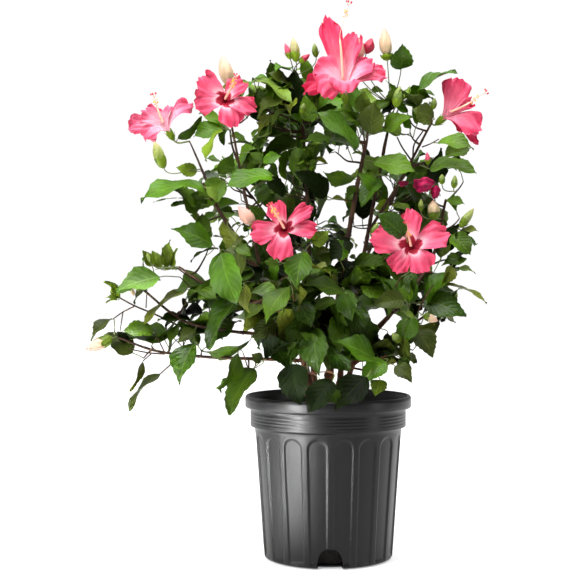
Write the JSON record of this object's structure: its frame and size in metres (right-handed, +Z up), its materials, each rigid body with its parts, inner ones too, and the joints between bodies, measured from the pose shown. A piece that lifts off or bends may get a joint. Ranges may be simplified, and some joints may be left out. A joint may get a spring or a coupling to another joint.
{
  "type": "flowering hibiscus shrub in a nursery pot",
  "caption": "Open, many-stemmed shrub with toothed glossy leaves and large five-petalled coral-pink blooms, in a black ribbed plastic nursery pot.",
  "frame": {"origin": "centre of the pot's flat underside, where it stands", "axes": "+Z up along the pot's axis, -Y towards the shrub's front, +X to the right seen from the front"},
  "size_m": [0.624, 0.4234, 0.8558],
  "materials": {
    "pot_plastic": "moulded black polypropylene with a soft satin sheen",
    "potting_soil": "moist dark bark-based potting mix",
    "bark": "smooth grey-brown young bark with raised pores",
    "leaf": "glossy toothed green leaves",
    "petal": "satin coral-pink petals with a dark red eye"
  },
  "bodies": {
    "root": {"bloom_far_left": "petal", "bloom_mid_left": "petal", "bloom_mid_right": "petal", "bloom_right": "petal", "bloom_top": "petal", "bloom_upper_left": "petal", "bough_back_left": "bark", "bough_back_right": "bark", "bough_bloom_far_left": "bark", "bough_bloom_left": "bark", "bough_bloom_mid_right": "bark", "bough_left": "bark", "bough_low_left": "bark", "bough_low_right": "bark", "bough_mid_left": "bark", "bough_right_top": "bark", "foliage_back_centre": "leaf", "foliage_back_left": "leaf", "foliage_back_low": "leaf", "foliage_back_low_left": "leaf", "foliage_back_low_right": "leaf", "foliage_back_right": "leaf", "foliage_back_top": "leaf", "foliage_buds_top_left": "leaf", "foliage_buds_top_right": "leaf", "foliage_centre_top": "leaf", "foliage_far_left": "leaf", "foliage_front_centre": "leaf", "foliage_front_left": "leaf", "foliage_front_right": "leaf", "foliage_inner_upper": "leaf", "foliage_inner_upper_right": "leaf", "foliage_left": "leaf", "foliage_left_front": "leaf", "foliage_left_inner": "leaf", "foliage_left_lower": "leaf", "foliage_low_centre": "leaf", "foliage_low_far_left": "leaf", "foliage_low_left": "leaf", "foliage_low_left_front": "leaf", "foliage_low_left_hanging": "leaf", "foliage_low_right": "leaf", "foliage_pot_front": "leaf", "foliage_right": "leaf", "foliage_right_buds": "leaf", "foliage_right_high": "leaf", "foliage_right_low": "leaf", "foliage_right_lower": "leaf", "foliage_right_mid": "leaf", "foliage_upper_centre": "leaf", "foliage_upper_left": "leaf", "foliage_upper_mid_left": "leaf", "foliage_upper_right": "leaf", "pot": "pot_plastic", "potting_soil": "potting_soil", "stem_back_left": "bark", "stem_centre": "bark", "stem_left": "bark", "stem_right": "bark", "stem_right_outer": "bark"}
  },
  "joints": []
}
